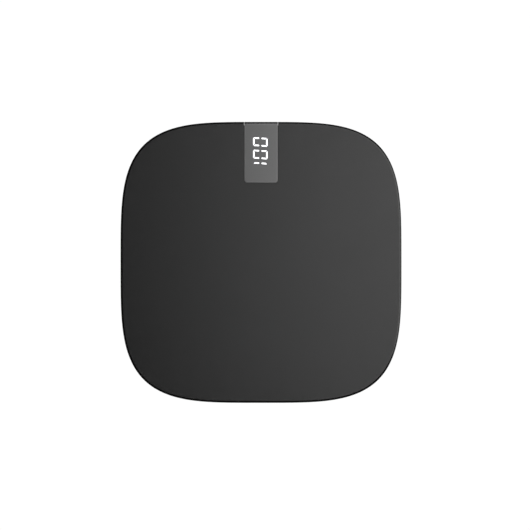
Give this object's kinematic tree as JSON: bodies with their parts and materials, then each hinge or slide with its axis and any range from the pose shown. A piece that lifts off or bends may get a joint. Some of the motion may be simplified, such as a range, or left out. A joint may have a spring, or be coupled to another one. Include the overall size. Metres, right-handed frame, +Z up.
{
  "type": "digital bathroom scale",
  "caption": "Square black bathroom scale with rounded corners, a grey display strip at its far edge, corner load-cell feet and a battery bay below",
  "frame": {"origin": "on the floor under the middle of the platform", "axes": "+Z up out of the platform, +Y towards the edge with the display, +X to the right of a person facing the display edge from above"},
  "size_m": [0.28, 0.28, 0.025],
  "materials": {
    "black_casing": "fine matte texture, black ABS",
    "smoked_lens": "satin smoked grey, translucent over the lit digits",
    "grey_rubber": "soft grey rubber",
    "plated_steel": "zinc or nickel plated steel",
    "white_film": "white film or silicone",
    "green_board": "green solder mask",
    "black_chip": "black epoxy",
    "ivory_nylon": "natural nylon",
    "cell_jacket": "plain printed jacket, no lettering",
    "white_wire": "white PVC insulation",
    "red_wire": "red PVC insulation",
    "black_wire": "black PVC insulation"
  },
  "bodies": {
    "casing": {"platform_cover": "black_casing", "base_tray": "black_casing", "display_lens": "smoked_lens", "stiffener_plate": "plated_steel", "light_mask": "black_casing", "segment_diffuser": "white_film", "display_board": "green_board", "display_cable": "white_wire", "main_board": "green_board", "controller_chip": "black_chip", "sensor_socket_left": "ivory_nylon", "sensor_socket_right": "ivory_nylon", "unit_switch_body": "plated_steel", "contact_positive": "plated_steel", "contact_negative": "plated_steel", "contact_link_1": "plated_steel", "contact_link_2": "plated_steel", "red_lead": "red_wire", "black_lead": "black_wire", "board_screw_1": "plated_steel", "board_screw_2": "plated_steel", "battery_1": "cell_jacket", "battery_2": "cell_jacket", "battery_3": "cell_jacket", "case_screw_1": "plated_steel", "case_screw_2": "plated_steel", "case_screw_3": "plated_steel", "case_screw_4": "plated_steel", "case_screw_5": "plated_steel", "case_screw_6": "plated_steel", "load_cell_1": "plated_steel", "strain_gauge_1": "white_film", "cell_clamp_1": "ivory_nylon", "sensor_lead_1": "white_wire", "load_cell_2": "plated_steel", "strain_gauge_2": "white_film", "cell_clamp_2": "ivory_nylon", "sensor_lead_2": "white_wire", "load_cell_3": "plated_steel", "strain_gauge_3": "white_film", "cell_clamp_3": "ivory_nylon", "sensor_lead_3": "white_wire", "load_cell_4": "plated_steel", "strain_gauge_4": "white_film", "cell_clamp_4": "ivory_nylon", "sensor_lead_4": "white_wire"},
    "battery_door": {"battery_door": "black_casing"},
    "unit_button": {"unit_button": "grey_rubber", "unit_switch_plunger": "black_chip"},
    "foot_1": {"foot_cup_1": "black_casing", "foot_pad_1": "grey_rubber"},
    "foot_2": {"foot_cup_2": "black_casing", "foot_pad_2": "grey_rubber"},
    "foot_3": {"foot_cup_3": "black_casing", "foot_pad_3": "grey_rubber"},
    "foot_4": {"foot_cup_4": "black_casing", "foot_pad_4": "grey_rubber"}
  },
  "joints": [
    {"name": "foot_1_travel", "type": "slide", "parent": "casing", "child": "foot_1", "axis": [0, 0, 1], "range_m": [0, 0.00025], "stiffness_N_per_m": 200000},
    {"name": "foot_2_travel", "type": "slide", "parent": "casing", "child": "foot_2", "axis": [0, 0, 1], "range_m": [0, 0.00025], "stiffness_N_per_m": 200000},
    {"name": "foot_3_travel", "type": "slide", "parent": "casing", "child": "foot_3", "axis": [0, 0, 1], "range_m": [0, 0.00025], "stiffness_N_per_m": 200000},
    {"name": "foot_4_travel", "type": "slide", "parent": "casing", "child": "foot_4", "axis": [0, 0, 1], "range_m": [0, 0.00025], "stiffness_N_per_m": 200000},
    {"name": "unit_button_press", "type": "slide", "parent": "casing", "child": "unit_button", "axis": [0, 0, 1], "range_m": [0, 0.0005], "stiffness_N_per_m": 4000},
    {"name": "battery_door_hinge", "type": "hinge", "parent": "casing", "child": "battery_door", "pos_m": [0, -0.036, 0.005], "axis": [-1, 0, 0], "range_deg": [0, 80]}
  ]
}
